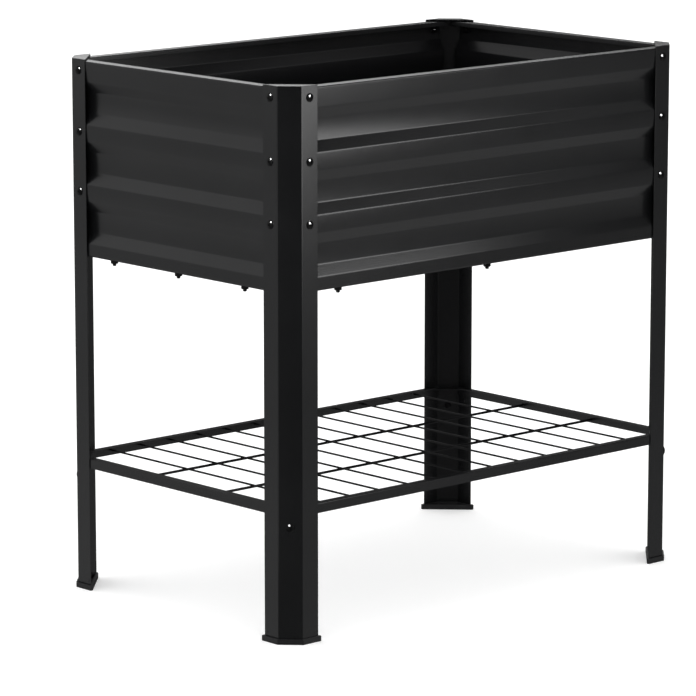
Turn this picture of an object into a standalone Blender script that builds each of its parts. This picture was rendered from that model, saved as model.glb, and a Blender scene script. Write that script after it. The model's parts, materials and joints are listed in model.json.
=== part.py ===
"""Raised planter: a corrugated sheet-steel box bolted between four corner legs, with a wire shelf below it.

Units are metres and +Z is up. X runs along the long side, and the origin is on the floor under the centre
of the box. Every physical piece is one object, and pieces that touch keep GAP between their faces. A piece
that repeats is modelled once, in its own frame, and placed by location and rotation.

Corner pieces (legs, caps, tabs) have their frame's origin on the corner where the two outer leg faces would
meet, with +X and +Y running inwards along those faces. Side pieces (walls, rails) have theirs at the middle
of a side, on the outer leg face, with X along the side and +Y inwards.
"""

import math

import bmesh
import bpy
from mathutils import Matrix, Vector

# Overall size, measured over the outer faces of the legs. The foot caps stand CAP_RIM proud of it all round.
LENGTH = 0.794
WIDTH = 0.504
HEIGHT = 0.800
GAP = 0.0003

# Corner leg: one strip bent to flange, chamfer, flange, with a plate closing its top.
LEG_SHEET = 0.0012
LEG_CHAMFER = 0.0245
LEG_SIDE = 0.0543
LEG_BEND = 0.0025

# Foot cap: a plastic tray with a channel that the leg stands in.
CAP_RIM = 0.003
CAP_HEIGHT = 0.008
CAP_BASE = 0.0025
CAP_WALL = 0.0016

# Wall panel: rim folded in and down, three pressed valleys, bottom flange folded in.
WALL_SHEET = 0.0008
WALL_BOTTOM = 0.507
WALL_TOP = 0.797
WALL_END = 0.0255
WALL_FACE = LEG_SHEET + GAP
RIM_WIDTH = 0.020
RIM_LIP = 0.007
FLANGE_WIDTH = 0.020
WALL_BEND = 0.0035
VALLEY_DEPTH = 0.0105
VALLEY_PITCH = 0.0885
TOP_VALLEY = 0.7355
VALLEY_CENTRES = [TOP_VALLEY - VALLEY_PITCH * i for i in range(3)]
VALLEY_HALF = 0.0155
SLOPE_HEIGHT = 0.016
BOW = 0.0010

# Floor tray: a ribbed plate that lies on the bottom flanges.
TRAY_SHEET = 0.0008
TRAY_INSET = 0.0055
TRAY_CORNER = 0.034
RIB_OFFSET = 0.073
RIB_HALF = 0.012
RIB_SLOPE = 0.004
RIB_HEIGHT = 0.004
DRAIN_RADIUS = 0.005
DRAIN_ROWS = (-0.185, 0.0, 0.185)
DRAIN_COLUMNS = (-0.30, -0.15, 0.0, 0.15, 0.30)

# Shelf: angle rails, hanging corner tabs and a welded wire grid.
SHELF_TOP = 0.201
RAIL_HEIGHT = 0.014
RAIL_WIDTH = 0.012
RAIL_SHEET = 0.0015
TAB_WIDTH = 0.028
TAB_DROP = 0.043
GUSSET_REACH = 0.052
CROSS_WIRE_RADIUS = 0.0015
CROSS_WIRE_DROP = 0.0056
CROSS_WIRE_COUNT = 12
CROSS_WIRE_PITCH = 0.0573
LONG_WIRE_RADIUS = 0.002
LONG_WIRE_OFFSET = 0.0765
WELD_SINK = 0.0004

# Fasteners: domed machine screws, each modelled with its nut run up tight.
SHANK_RADIUS = 0.003
HOLE_RADIUS = 0.0035
HEAD_RADIUS = 0.00625
HEAD_HEIGHT = 0.0026
NUT_ACROSS_CORNERS = 0.0112
NUT_HEIGHT = 0.0045
TIP_LENGTH = 0.0032
LEG_SCREW_HEIGHTS = (0.783, 0.6925, 0.6035)
LEG_SCREW_OFFSET = (LEG_CHAMFER + LEG_SIDE) / 2
SHELF_SCREW_HEIGHT = 0.170
TRAY_BOLT_INSET = 0.0105
TRAY_BOLTS_SHORT = (-0.146, 0.0, 0.146)
TRAY_BOLTS_LONG = (-0.295, 0.0)

# Straight sides of a round piece or hole, and rings in a screw's dome.
ROUND_STEPS = 10
DRAIN_STEPS = 8
WIRE_STEPS = 8
DOME_RINGS = 2

# How far a hole's cutter reaches each way past the sheet's face.
CUTTER_REACH = 0.006
ROOT_2 = math.sqrt(2)

# Name: place of the corner in half lengths and half widths, and the turn about Z that points its frame inwards.
CORNERS = {
    "front_left": (-1, -1, 0),
    "front_right": (1, -1, 90),
    "rear_right": (1, 1, 180),
    "rear_left": (-1, 1, 270),
}
SIDES = {
    "front": (0, -1, 0),
    "right": (1, 0, 90),
    "rear": (0, 1, 180),
    "left": (-1, 0, 270),
}


# Scene, materials and placing.


def clear_scene():
    for obj in list(bpy.data.objects):
        bpy.data.objects.remove(obj)


def new_collection(name):
    collection = bpy.data.collections.new(name)
    bpy.context.scene.collection.children.link(collection)
    return collection


def material(name, colour, roughness, metallic):
    made = bpy.data.materials.new(name)
    made.use_nodes = True
    shader = made.node_tree.nodes["Principled BSDF"]
    shader.inputs["Base Color"].default_value = (*colour, 1.0)
    shader.inputs["Roughness"].default_value = roughness
    shader.inputs["Metallic"].default_value = metallic
    return made


def place_matrix(place):
    """The frame of a corner or a side, from its entry in CORNERS or SIDES."""
    across, along, turn = place
    spot = Matrix.Translation((across * LENGTH / 2, along * WIDTH / 2, 0))
    return spot @ Matrix.Rotation(math.radians(turn), 4, "Z")


def put(name, mesh, matrix=None):
    """A named object of the planter that shows this mesh."""
    obj = bpy.data.objects.new(name, mesh)
    parts.objects.link(obj)
    if matrix is not None:
        obj.matrix_world = matrix
    return obj


# Shaping helpers. Each works on a scratch object, and baked() turns its modifiers into one plain mesh.


def scratch(bm, name):
    bmesh.ops.recalc_face_normals(bm, faces=bm.faces)
    mesh = bpy.data.meshes.new(name)
    bm.to_mesh(mesh)
    bm.free()
    obj = bpy.data.objects.new(name, mesh)
    obj.hide_render = True
    tools.objects.link(obj)
    return obj


def prism(outline, low, high, name="prism"):
    """A flat outline in XY, raised from low to high."""
    bm = bmesh.new()
    face = bm.faces.new([bm.verts.new((x, y, low)) for x, y in outline])
    raised = bmesh.ops.extrude_face_region(bm, geom=[face])
    top = [part for part in raised["geom"] if isinstance(part, bmesh.types.BMVert)]
    bmesh.ops.translate(bm, verts=top, vec=(0, 0, high - low))
    return scratch(bm, name)


def rods(ends, radius, steps, name="rods"):
    """Cylinders between pairs of points, as one scratch object."""
    bm = bmesh.new()
    for start, end in ends:
        start, end = Vector(start), Vector(end)
        turn = (end - start).to_track_quat("Z", "Y").to_matrix().to_4x4()
        bmesh.ops.create_cone(
            bm, cap_ends=True, segments=steps, radius1=radius, radius2=radius, depth=(end - start).length,
            matrix=Matrix.Translation((start + end) / 2) @ turn,
        )
    return scratch(bm, name)


def sheet_along(profile, half_length, thickness, name):
    """An open strip: a profile in YZ swept along X, thickened to the profile's left."""
    bm = bmesh.new()
    line = [bm.verts.new((-half_length, y, z)) for y, z in profile]
    edges = [bm.edges.new(pair) for pair in zip(line, line[1:])]
    swept = bmesh.ops.extrude_edge_only(bm, edges=edges)
    far = [part for part in swept["geom"] if isinstance(part, bmesh.types.BMVert)]
    bmesh.ops.translate(bm, verts=far, vec=(2 * half_length, 0, 0))
    obj = scratch(bm, name)
    solid = obj.modifiers.new("thickness", "SOLIDIFY")
    solid.thickness = thickness
    solid.offset = 1 if facing_left(obj.data, profile) else -1
    solid.use_even_offset = True
    return obj


def facing_left(mesh, profile):
    """Whether the swept strip's normals point to the left of the profile's direction."""
    (y0, z0), (y1, z1) = profile[0], profile[1]
    left = Vector((0, -(z1 - z0), y1 - y0))
    middle = Vector((0, (y0 + y1) / 2, (z0 + z1) / 2))
    nearest = min(mesh.polygons, key=lambda face: (face.center - middle).length)
    return nearest.normal.dot(left) > 0


def boolean(obj, other, operation="DIFFERENCE"):
    step = obj.modifiers.new(operation.lower(), "BOOLEAN")
    step.operation = operation
    step.object = other
    other.display_type = "WIRE"


def baked(obj, look, helpers=(), smooth=30):
    """The evaluated mesh of a scratch object, with its material. The object and its helpers are removed."""
    bpy.context.view_layer.update()
    graph = bpy.context.evaluated_depsgraph_get()
    mesh = bpy.data.meshes.new_from_object(obj.evaluated_get(graph))
    mesh.name = obj.name
    mesh.materials.clear()
    mesh.materials.append(look)
    mesh.shade_smooth()
    mesh.set_sharp_from_angle(angle=math.radians(smooth))
    for used in (obj, *helpers):
        bpy.data.objects.remove(used)
    return mesh


def filleted(points, radius, steps=2, closed=False):
    """The polyline with each inner corner rounded, where its sides are long enough."""
    count = len(points)
    rounded = []
    for i, point in enumerate(points):
        if not closed and i in (0, count - 1):
            rounded.append(point)
            continue
        here = Vector(point)
        back = Vector(points[i - 1]) - here
        on = Vector(points[(i + 1) % count]) - here
        half = back.angle(on) / 2
        reach = min(radius / math.tan(half), 0.45 * back.length, 0.45 * on.length)
        real_radius = reach * math.tan(half)
        if math.pi - 2 * half < math.radians(3):
            rounded.append(point)
            continue
        centre = here + (back.normalized() + on.normalized()).normalized() * real_radius / math.sin(half)
        first = here + back.normalized() * reach - centre
        last = here + on.normalized() * reach - centre
        sweep = first.angle_signed(last)
        for step in range(steps + 1):
            turned = first.copy()
            turned.rotate(Matrix.Rotation(-sweep * step / steps, 2))
            rounded.append(tuple(centre + turned))
    return rounded


# Corner pieces.


def strip_outline(outwards, inwards, side):
    """The leg's bent strip in plan, its outer face moved out and its inner face set in by these amounts."""
    bend = ROOT_2 - 1
    outer = LEG_CHAMFER - bend * outwards
    inner = LEG_CHAMFER + bend * inwards
    return [
        (side, -outwards), (outer, -outwards), (-outwards, outer), (-outwards, side),
        (inwards, side), (inwards, inner), (inner, inwards), (side, inwards),
    ]


def closed_outline(outwards, lip):
    """The leg in plan, closed by a diagonal between its free edges, and grown outwards."""
    outer = LEG_CHAMFER - (ROOT_2 - 1) * outwards
    side = LEG_SIDE + outwards
    return [
        (side, -outwards), (outer, -outwards), (-outwards, outer), (-outwards, side), (lip, side), (side, lip),
    ]


def leg_mesh():
    corners = closed_outline(0, LEG_SHEET)
    outline = [corners[0], *filleted(corners[0:4], LEG_BEND)[1:-1], *corners[3:]]
    body = prism(outline, CAP_BASE + GAP, HEIGHT, "leg")
    inner = LEG_CHAMFER + (ROOT_2 - 1) * LEG_SHEET
    far = 2 * LEG_SIDE
    bends = [(far, LEG_SHEET), (inner, LEG_SHEET), (LEG_SHEET, inner), (LEG_SHEET, far)]
    hollow = prism([*filleted(bends, LEG_BEND - LEG_SHEET), (far, far)], -LEG_SIDE, HEIGHT - LEG_SHEET)
    holes = rods(leg_hole_axes(), HOLE_RADIUS, ROUND_STEPS)
    boolean(body, hollow)
    boolean(body, holes)
    return baked(body, steel, (hollow, holes))


def leg_hole_axes():
    reach = CUTTER_REACH
    axes = []
    for height in LEG_SCREW_HEIGHTS:
        axes.append(((LEG_SCREW_OFFSET, -reach, height), (LEG_SCREW_OFFSET, reach, height)))
        axes.append(((-reach, LEG_SCREW_OFFSET, height), (reach, LEG_SCREW_OFFSET, height)))
    middle = LEG_CHAMFER / 2
    step = reach / ROOT_2
    axes.append((
        (middle - step, middle - step, SHELF_SCREW_HEIGHT),
        (middle + step, middle + step, SHELF_SCREW_HEIGHT),
    ))
    return axes


def cap_mesh():
    rim_lip = CAP_RIM * (ROOT_2 - 1)
    body = prism(closed_outline(CAP_RIM, rim_lip), 0, CAP_HEIGHT, "foot_cap")
    above = CAP_HEIGHT + CUTTER_REACH
    channel = prism(strip_outline(GAP, LEG_SHEET + GAP, LEG_SIDE + GAP), CAP_BASE, above)
    inner = LEG_SHEET + GAP + CAP_WALL
    bend = LEG_CHAMFER + (ROOT_2 - 1) * inner
    far = LEG_SIDE + rim_lip - inner - CAP_WALL * ROOT_2
    pocket = prism([(far, inner), (bend, inner), (inner, bend), (inner, far)], CAP_BASE, above)
    boolean(body, channel)
    boolean(body, pocket)
    return baked(body, plastic, (channel, pocket))


def tab_mesh():
    """A plate behind the leg's chamfer, with a gusset under the rails at its top."""
    face = (LEG_CHAMFER / ROOT_2) + LEG_SHEET + GAP
    diagonal = Matrix.Rotation(math.radians(45), 4, "Z")
    top = SHELF_TOP - RAIL_SHEET - GAP
    half = TAB_WIDTH / 2
    plate = prism(
        [(face, -half), (face + RAIL_SHEET, -half), (face + RAIL_SHEET, half), (face, half)],
        SHELF_TOP - TAB_DROP, top, "shelf_tab",
    )
    plate.data.transform(diagonal)
    edge = LEG_SHEET + RAIL_SHEET + 2 * GAP
    start = (face + RAIL_SHEET / 2) * ROOT_2 - edge
    gusset = prism(
        [(start, edge), (GUSSET_REACH, edge), (edge, GUSSET_REACH), (edge, start)], top - RAIL_SHEET, top,
    )
    middle = Vector((LEG_CHAMFER / 2, LEG_CHAMFER / 2, SHELF_SCREW_HEIGHT))
    reach = Vector((CUTTER_REACH, CUTTER_REACH, 0))
    hole = rods([(middle - reach, middle + reach)], HOLE_RADIUS, ROUND_STEPS)
    boolean(plate, gusset, "UNION")
    boolean(plate, hole)
    return baked(plate, steel, (gusset, hole))


# Wall panels and the tray between them.


def wave():
    """The pressed part of a wall, from the top flat to the bottom flat, as (depth, height) points.

    Each valley is slightly bowed, and each crest between two valleys is flat where its screws sit and falls
    away at its edges. Straight slopes join them.
    """
    points = []
    for number, centre in enumerate(VALLEY_CENTRES):
        if number:
            crest = centre + VALLEY_PITCH / 2
            half = VALLEY_PITCH / 2 - VALLEY_HALF - SLOPE_HEIGHT
            points += [(BOW, crest + half), (0, crest + half / 2), (0, crest - half / 2), (BOW, crest - half)]
        else:
            points.append((0, centre + VALLEY_HALF + SLOPE_HEIGHT))
        points += [
            (VALLEY_DEPTH - BOW, centre + VALLEY_HALF),
            (VALLEY_DEPTH, centre),
            (VALLEY_DEPTH - BOW, centre - VALLEY_HALF),
        ]
    points.append((0, VALLEY_CENTRES[-1] - VALLEY_HALF - SLOPE_HEIGHT))
    return points


def wall_profile():
    """The outer face of a wall panel, from the tip of the rim's lip to the edge of the bottom flange."""
    rim = RIM_WIDTH - WALL_SHEET
    points = [(rim, WALL_TOP - RIM_LIP), (rim, WALL_TOP), (0, WALL_TOP)]
    points += wave()
    points += [(0, WALL_BOTTOM), (FLANGE_WIDTH, WALL_BOTTOM)]
    return [(WALL_FACE + depth, height) for depth, height in filleted(points, WALL_BEND)]


def wall_mesh(side_length, tray_bolts):
    panel = sheet_along(wall_profile(), side_length / 2 - WALL_END, WALL_SHEET, "wall")
    at = side_length / 2 - LEG_SCREW_OFFSET
    reach = CUTTER_REACH
    axes = [((x, -reach, z), (x, reach, z)) for x in (-at, at) for z in LEG_SCREW_HEIGHTS]
    axes += [
        ((x, TRAY_BOLT_INSET, WALL_BOTTOM - reach), (x, TRAY_BOLT_INSET, WALL_BOTTOM + reach))
        for x in tray_bolts
    ]
    holes = rods(axes, HOLE_RADIUS, ROUND_STEPS)
    boolean(panel, holes)
    return baked(panel, steel, (holes,), smooth=40)


def tray_bottom():
    return WALL_BOTTOM + WALL_SHEET + GAP


def tray_bolt_spots():
    """Where the tray bolts stand. Opposite walls are the same panel, turned half round."""
    x, y = LENGTH / 2 - TRAY_BOLT_INSET, WIDTH / 2 - TRAY_BOLT_INSET
    spots = {}
    for number, along in enumerate(TRAY_BOLTS_LONG, 1):
        spots[f"tray_bolt_front_{number}"] = (along, -y)
        spots[f"tray_bolt_rear_{number}"] = (-along, y)
    for number, along in enumerate(TRAY_BOLTS_SHORT, 1):
        spots[f"tray_bolt_left_{number}"] = (-x, along)
        spots[f"tray_bolt_right_{number}"] = (x, along)
    return spots


def tray_mesh():
    half_x, half_y = LENGTH / 2 - TRAY_INSET, WIDTH / 2 - TRAY_INSET
    low = tray_bottom()
    profile = [(-half_y, low)]
    for centre in (-RIB_OFFSET, RIB_OFFSET):
        profile += [
            (centre - RIB_HALF, low), (centre - RIB_HALF + RIB_SLOPE, low + RIB_HEIGHT),
            (centre + RIB_HALF - RIB_SLOPE, low + RIB_HEIGHT), (centre + RIB_HALF, low),
        ]
    profile.append((half_y, low))
    plate = sheet_along(profile, half_x, TRAY_SHEET, "floor_tray")
    under, over = low - CUTTER_REACH, low + CUTTER_REACH
    axes = [((x, y, under), (x, y, over)) for x, y in tray_bolt_spots().values()]
    bolt_holes = rods(axes, HOLE_RADIUS, ROUND_STEPS)
    drains = rods(
        [((x, y, under), (x, y, over)) for x in DRAIN_COLUMNS for y in DRAIN_ROWS], DRAIN_RADIUS, DRAIN_STEPS,
    )
    cut = TRAY_CORNER
    across, along = LENGTH / 2, WIDTH / 2
    octagon = [
        (across - cut, -along), (across, cut - along), (across, along - cut), (across - cut, along),
        (cut - across, along), (-across, along - cut), (-across, cut - along), (cut - across, -along),
    ]
    outline = prism(octagon, under, over)
    boolean(plate, outline, "INTERSECT")
    boolean(plate, bolt_holes)
    boolean(plate, drains)
    return baked(plate, steel, (outline, bolt_holes, drains))


# Shelf.


def rail_mesh(side_length):
    """An angle: an upright leg behind the corner legs' flanges, and a flat leg on top of it, inwards."""
    outer = LEG_SHEET + GAP
    low, high = SHELF_TOP - RAIL_HEIGHT, SHELF_TOP
    profile = filleted([(outer + RAIL_WIDTH, high), (outer, high), (outer, low)], RAIL_SHEET)
    rail = sheet_along(profile, side_length / 2 - WALL_END, RAIL_SHEET, "shelf_rail")
    return baked(rail, steel)


def grid_mesh():
    """Two long wires under twelve cross wires, all welded into one piece."""
    end = LEG_SHEET + RAIL_SHEET + 2 * GAP
    half_x, half_y = LENGTH / 2 - end, WIDTH / 2 - end
    cross_height = SHELF_TOP - CROSS_WIRE_DROP
    long_height = cross_height - CROSS_WIRE_RADIUS - LONG_WIRE_RADIUS + WELD_SINK
    middle = (CROSS_WIRE_COUNT - 1) / 2
    places = [(number - middle) * CROSS_WIRE_PITCH for number in range(CROSS_WIRE_COUNT)]
    long_wires = [
        rods(
            [((-half_x, y, long_height), (half_x, y, long_height))], LONG_WIRE_RADIUS, WIRE_STEPS, "shelf_grid",
        )
        for y in (-LONG_WIRE_OFFSET, LONG_WIRE_OFFSET)
    ]
    cross_wires = rods(
        [((x, -half_y, cross_height), (x, half_y, cross_height)) for x in places],
        CROSS_WIRE_RADIUS, WIRE_STEPS,
    )
    grid, other = long_wires
    boolean(grid, cross_wires, "UNION")
    boolean(grid, other, "UNION")
    return baked(grid, steel, (cross_wires, other))


# Fasteners.


def screw_mesh(name, grip):
    """A dome-head screw through plates of total thickness grip, from Z = 0 downwards, with its nut."""
    bm = bmesh.new()
    sphere = (HEAD_RADIUS**2 + HEAD_HEIGHT**2) / (2 * HEAD_HEIGHT)
    rise = math.asin(HEAD_RADIUS / sphere)
    dome = []
    for ring in range(DOME_RINGS + 1):
        angle = rise * ring / DOME_RINGS
        dome.append((sphere * math.sin(angle), GAP + HEAD_HEIGHT - sphere * (1 - math.cos(angle))))
    tip = -(grip + GAP + NUT_HEIGHT + TIP_LENGTH)
    outline = [*dome, (SHANK_RADIUS, GAP), (SHANK_RADIUS, tip), (0, tip)]
    line = [bm.verts.new((radius, 0, height)) for radius, height in outline]
    for pair in zip(line, line[1:]):
        bm.edges.new(pair)
    bmesh.ops.spin(
        bm, geom=[*bm.verts, *bm.edges], axis=(0, 0, 1), cent=(0, 0, 0),
        steps=ROUND_STEPS, angle=math.tau, use_duplicate=False,
    )
    bmesh.ops.remove_doubles(bm, verts=bm.verts, dist=1e-6)
    bmesh.ops.dissolve_degenerate(bm, edges=bm.edges, dist=1e-7)
    screw = scratch(bm, name)
    top = -(grip + GAP)
    corner = NUT_ACROSS_CORNERS / 2
    hexagon = [(corner * math.cos(math.tau * i / 6), corner * math.sin(math.tau * i / 6)) for i in range(6)]
    nut = prism(hexagon, top - NUT_HEIGHT, top)
    boolean(screw, nut, "UNION")
    return baked(screw, zinc, (nut,))


def aimed(spot, direction):
    """A frame at this spot whose +Z points along the direction."""
    return Matrix.Translation(spot) @ Vector(direction).to_track_quat("Z", "Y").to_matrix().to_4x4()


def build_screws():
    flange = screw_mesh("flange_screw", LEG_SHEET + GAP + WALL_SHEET)
    shelf = screw_mesh("shelf_screw", LEG_SHEET + GAP + RAIL_SHEET)
    tray = screw_mesh("tray_bolt", TRAY_SHEET + GAP + WALL_SHEET)
    for corner, place in CORNERS.items():
        frame = place_matrix(place)
        for number, height in enumerate(LEG_SCREW_HEIGHTS, 1):
            # The leg's own +Y flange faces -X, and its +X flange faces -Y.
            put(f"screw_{corner}_a{number}", flange, frame @ aimed((LEG_SCREW_OFFSET, 0, height), (0, -1, 0)))
            put(f"screw_{corner}_b{number}", flange, frame @ aimed((0, LEG_SCREW_OFFSET, height), (-1, 0, 0)))
        middle = LEG_CHAMFER / 2
        put(f"shelf_screw_{corner}", shelf, frame @ aimed((middle, middle, SHELF_SCREW_HEIGHT), (-1, -1, 0)))
    for name, (x, y) in tray_bolt_spots().items():
        put(name, tray, aimed((x, y, tray_bottom() + TRAY_SHEET), (0, 0, 1)))


def build_corners():
    for name, mesh in (("leg", leg_mesh()), ("foot_cap", cap_mesh()), ("shelf_tab", tab_mesh())):
        for corner, place in CORNERS.items():
            put(f"{name}_{corner}", mesh, place_matrix(place))


def build_sides():
    long_wall, short_wall = wall_mesh(LENGTH, TRAY_BOLTS_LONG), wall_mesh(WIDTH, TRAY_BOLTS_SHORT)
    long_rail, short_rail = rail_mesh(LENGTH), rail_mesh(WIDTH)
    for side, place in SIDES.items():
        is_long = side in ("front", "rear")
        put(f"wall_{side}", long_wall if is_long else short_wall, place_matrix(place))
        put(f"shelf_rail_{side}", long_rail if is_long else short_rail, place_matrix(place))


clear_scene()
parts = new_collection("raised_planter")
tools = new_collection("cutters")
steel = material("powder_coated_steel", (0.020, 0.021, 0.022), 0.42, 0.0)
plastic = material("black_plastic", (0.010, 0.010, 0.011), 0.50, 0.0)
zinc = material("black_zinc_screws", (0.012, 0.012, 0.013), 0.25, 0.8)
build_corners()
build_sides()
put("floor_tray", tray_mesh())
put("shelf_grid", grid_mesh())
build_screws()
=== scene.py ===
"""Looks of the raised planter: fine meshes, materials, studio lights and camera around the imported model.

Units are metres and +Z is up. X runs along the long side, and the origin is on the floor under the centre
of the box. A corner piece is modelled in a frame whose origin is where the two outer leg faces would meet,
with +X and +Y running inwards along them. A side piece is modelled at the middle of its side, on the outer
leg face, with X along the side and +Y inwards. A fastener is modelled with its head's seat at Z = 0 and its
head above it.
"""

import json
import math
import random

import bmesh
import bpy
from mathutils import Matrix, Quaternion, Vector

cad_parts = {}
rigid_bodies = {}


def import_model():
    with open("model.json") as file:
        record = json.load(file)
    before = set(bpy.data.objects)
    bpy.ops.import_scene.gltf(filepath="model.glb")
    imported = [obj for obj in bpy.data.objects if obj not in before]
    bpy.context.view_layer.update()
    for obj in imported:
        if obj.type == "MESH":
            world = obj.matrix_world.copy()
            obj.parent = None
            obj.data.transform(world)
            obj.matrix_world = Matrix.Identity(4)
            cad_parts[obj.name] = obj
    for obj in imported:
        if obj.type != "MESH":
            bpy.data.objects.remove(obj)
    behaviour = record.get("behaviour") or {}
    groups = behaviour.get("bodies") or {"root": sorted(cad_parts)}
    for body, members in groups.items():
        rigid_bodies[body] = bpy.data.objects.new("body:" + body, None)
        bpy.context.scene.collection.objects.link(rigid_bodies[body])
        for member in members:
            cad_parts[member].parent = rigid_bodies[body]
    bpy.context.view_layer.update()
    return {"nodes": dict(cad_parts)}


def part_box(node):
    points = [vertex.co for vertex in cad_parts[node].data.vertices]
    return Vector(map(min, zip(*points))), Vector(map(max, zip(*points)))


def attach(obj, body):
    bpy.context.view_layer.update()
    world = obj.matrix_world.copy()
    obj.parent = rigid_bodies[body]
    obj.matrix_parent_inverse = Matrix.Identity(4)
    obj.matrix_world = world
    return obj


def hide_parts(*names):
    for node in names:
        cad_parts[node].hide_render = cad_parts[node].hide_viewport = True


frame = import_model()

ROOT_2 = math.sqrt(2)
GAP = 0.0003
SMOOTH_ANGLE = 35
EASED_ANGLE = 50

# A bend flatter than this, in degrees, stays as it is. A bend takes at most this share of the runs beside it.
FLATTEST_BEND = 4
BEND_SHARE = 0.45

# Legs.
leg_low, leg_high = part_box("leg_front_left")
HALF_LENGTH = -leg_low.x
HALF_WIDTH = -leg_low.y
LEG_SIDE = leg_high.x - leg_low.x
LEG_BOTTOM = leg_low.z
LEG_TOP = leg_high.z
LEG_SHEET = 0.0012
LEG_CHAMFER = 0.0245
LEG_BEND = 0.0025
LEG_BEND_STEPS = 8
LEG_EDGE = 0.0004
DIMPLE_RADIUS = 0.0024
DIMPLE_RISE = 0.0004
DIMPLE_SINK = 0.0001
DIMPLE_INSET = 0.0052
DIMPLE_HEIGHT = 0.0145

# Foot caps.
cap_low, cap_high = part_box("foot_cap_front_left")
CAP_RIM = leg_low.x - cap_low.x
CAP_HEIGHT = cap_high.z
CAP_BASE = 0.0025
CAP_WALL = 0.0016
CAP_BEND = 0.0016
CAP_BEND_STEPS = 5
CAP_EDGE = 0.0006
CAP_CUT_ABOVE = 0.002

# Wall panels.
wall_low, wall_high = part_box("wall_front")
WALL_END = HALF_LENGTH - wall_high.x
WALL_FACE = wall_low.y + HALF_WIDTH
WALL_BOTTOM = wall_low.z
WALL_TOP = wall_high.z
RIM_WIDTH = wall_high.y - wall_low.y
WALL_SHEET = 0.0008
WALL_EDGE = 0.0002
RIM_LIP = 0.007
LIP_LEAN = 0.0005
TOP_VALLEY = 0.7355
VALLEY_PITCH = 0.0885
VALLEY_CENTRES = [TOP_VALLEY - VALLEY_PITCH * number for number in range(3)]
VALLEY_HALF = 0.0155
SLOPE_HEIGHT = 0.016
RIM_BEND = 0.0024
FOOT_BEND = 0.0030
SLOPE_BEND = 0.0050
WALL_BEND_STEPS = 5
CREST_STEPS = 7
VALLEY_STEPS = 10

# The depth of each flat face behind the wall's front. The top face is as deep as the first crest.
VALLEY_DEPTHS = (0.0105, 0.0098, 0.0102)
CREST_DEPTHS = (0.0004, 0.0004, 0.0012)

# How far each face of the wall looks up, in degrees, at its top and at its bottom.
TOP_TILTS = (-3.0, -4.8)
VALLEY_TILTS = ((-6.5, 7.0), (-6.5, 1.0), (-8.0, 2.0))
CREST_TILTS = ((0.8, -5.5), (0.8, -6.5), (0.5, 0.0))

# Floor tray.
tray_low, tray_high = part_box("floor_tray")
TRAY_SHEET = 0.0008
TRAY_CORNER = 0.034
TRAY_BEND = 0.003
TRAY_BEND_STEPS = 4
CUT_UNDER = 0.003
CUT_OVER = 0.009
RIB_OFFSET = 0.073
RIB_HALF = 0.012
RIB_SLOPE = 0.004
RIB_HEIGHT = tray_high.z - tray_low.z - TRAY_SHEET
DRAIN_RADIUS = 0.005
DRAIN_STEPS = 28
DRAIN_ROWS = (-0.185, 0.0, 0.185)
DRAIN_COLUMNS = (-0.30, -0.15, 0.0, 0.15, 0.30)

# Shelf.
rail_low, rail_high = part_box("shelf_rail_front")
grid_low, grid_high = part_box("shelf_grid")
SHELF_TOP = rail_high.z
RAIL_HEIGHT = rail_high.z - rail_low.z
RAIL_WIDTH = rail_high.y - rail_low.y
RAIL_SHEET = 0.0015
RAIL_BEND = 0.0012
RAIL_BEND_STEPS = 6
SHELF_EDGE = 0.0003
TAB_WIDTH = 0.028
TAB_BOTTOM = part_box("shelf_tab_front_left")[0].z
GUSSET_REACH = 0.052
CROSS_RADIUS = 0.0015
CROSS_HEIGHT = grid_high.z - CROSS_RADIUS
CROSS_COUNT = 12
CROSS_PITCH = 0.0573
LONG_RADIUS = 0.002
LONG_HEIGHT = grid_low.z + LONG_RADIUS
LONG_OFFSET = 0.0765
WIRE_STEPS = 20
WIRE_EDGE = 0.0004

# The half widths of a weld bead: at a cross wire's end, where wires cross, and at a long wire's end.
CROSS_END_BEAD = (0.0026, 0.0016, 0.0021)
CROSSING_BEAD = (0.0021, 0.0024, 0.0013)
LONG_END_BEAD = (0.0018, 0.0031, 0.0026)

# Fasteners.
HEAD_RADIUS = 0.00625
HEAD_HEIGHT = 0.0026
HEAD_EDGE = 0.0007
HEAD_RINGS = 8
HEAD_CHAMFER = 0.0002
SCREW_STEPS = 32
SHANK_RADIUS = 0.003
THREAD_DEPTH = 0.00045
THREAD_PITCH = 0.001
THREAD_ROWS_PER_TURN = 6
TIP_LENGTH = 0.0032
TIP_STRAIGHT = 0.0006
TIP_CHAMFER = 0.0008
RECESS_LENGTH = 0.0048
RECESS_WIDTH = 0.0010
RECESS_DEPTH = 0.0014
RECESS_TAPER = 0.6
RECESS_CUT_ABOVE = 0.001
NUT_SIDES = 6
NUT_STEPS = 48
NUT_ACROSS_CORNERS = 0.0112
NUT_HEIGHT = 0.0045
NUT_CHAMFER_ANGLE = 30
NUT_CHAMFER = 0.0002
NUT_EDGE = 0.0001
NUT_MOUTH = 0.0003
NUT_GRIP = 0.0001
NUT_BORE_CHAMFER = 0.0004
NUT_GAP = 0.0001

# A corner's or a side's place in half sizes, and the turn about Z, in degrees, that points its frame inwards.
CORNERS = {
    "front_left": (-1, -1, 0),
    "front_right": (1, -1, 90),
    "rear_right": (1, 1, 180),
    "rear_left": (-1, 1, 270),
}
SIDES = {
    "front": (0, -1, 0),
    "right": (1, 0, 90),
    "rear": (0, 1, 180),
    "left": (-1, 0, 270),
}

# Powder coat.
COAT_ROUGHNESS = 0.25
COAT_SMEARS = 0.015
COAT_PEEL = 0.00003
COAT_WAVINESS = 0.0001

# World patches that reflections see: angle from +X, elevation and reach in degrees, and strength.
WORLD_PATCHES = (
    (120, 10, 50, 0.36),
    (120, 35, 50, 0.22),
    (135, -35, 30, 0.2),
    (312, 15, 28, 0.12),
    (300, -40, 45, 0.45),
    (300, -68, 35, 0.85),
    (105, -48, 45, 0.15),
)

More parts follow.
